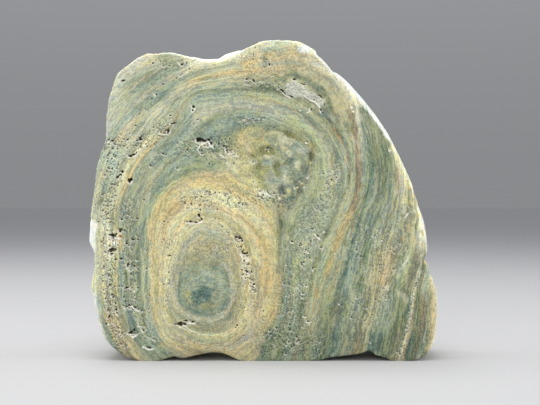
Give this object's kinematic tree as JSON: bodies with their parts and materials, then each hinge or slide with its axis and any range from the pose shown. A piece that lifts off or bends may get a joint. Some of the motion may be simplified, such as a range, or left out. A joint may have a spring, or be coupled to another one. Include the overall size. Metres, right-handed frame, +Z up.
{
  "type": "stromatolite",
  "caption": "Thick free-standing slab of banded stromatolite with a flat polished face, rough natural flanks, a sawn back and a ground base.",
  "frame": {"origin": "under the middle of the slab, on the plane that its base rests on", "axes": "+X along the slab's width, to the right as its polished face is looked at; -Y out of the polished face, +Y out of the sawn back; +Z up"},
  "size_m": [0.1799, 0.036, 0.1641],
  "materials": {
    "polished_stone": "polished"
  },
  "bodies": {
    "root": {"stromatolite_slab": "polished_stone"}
  },
  "joints": []
}
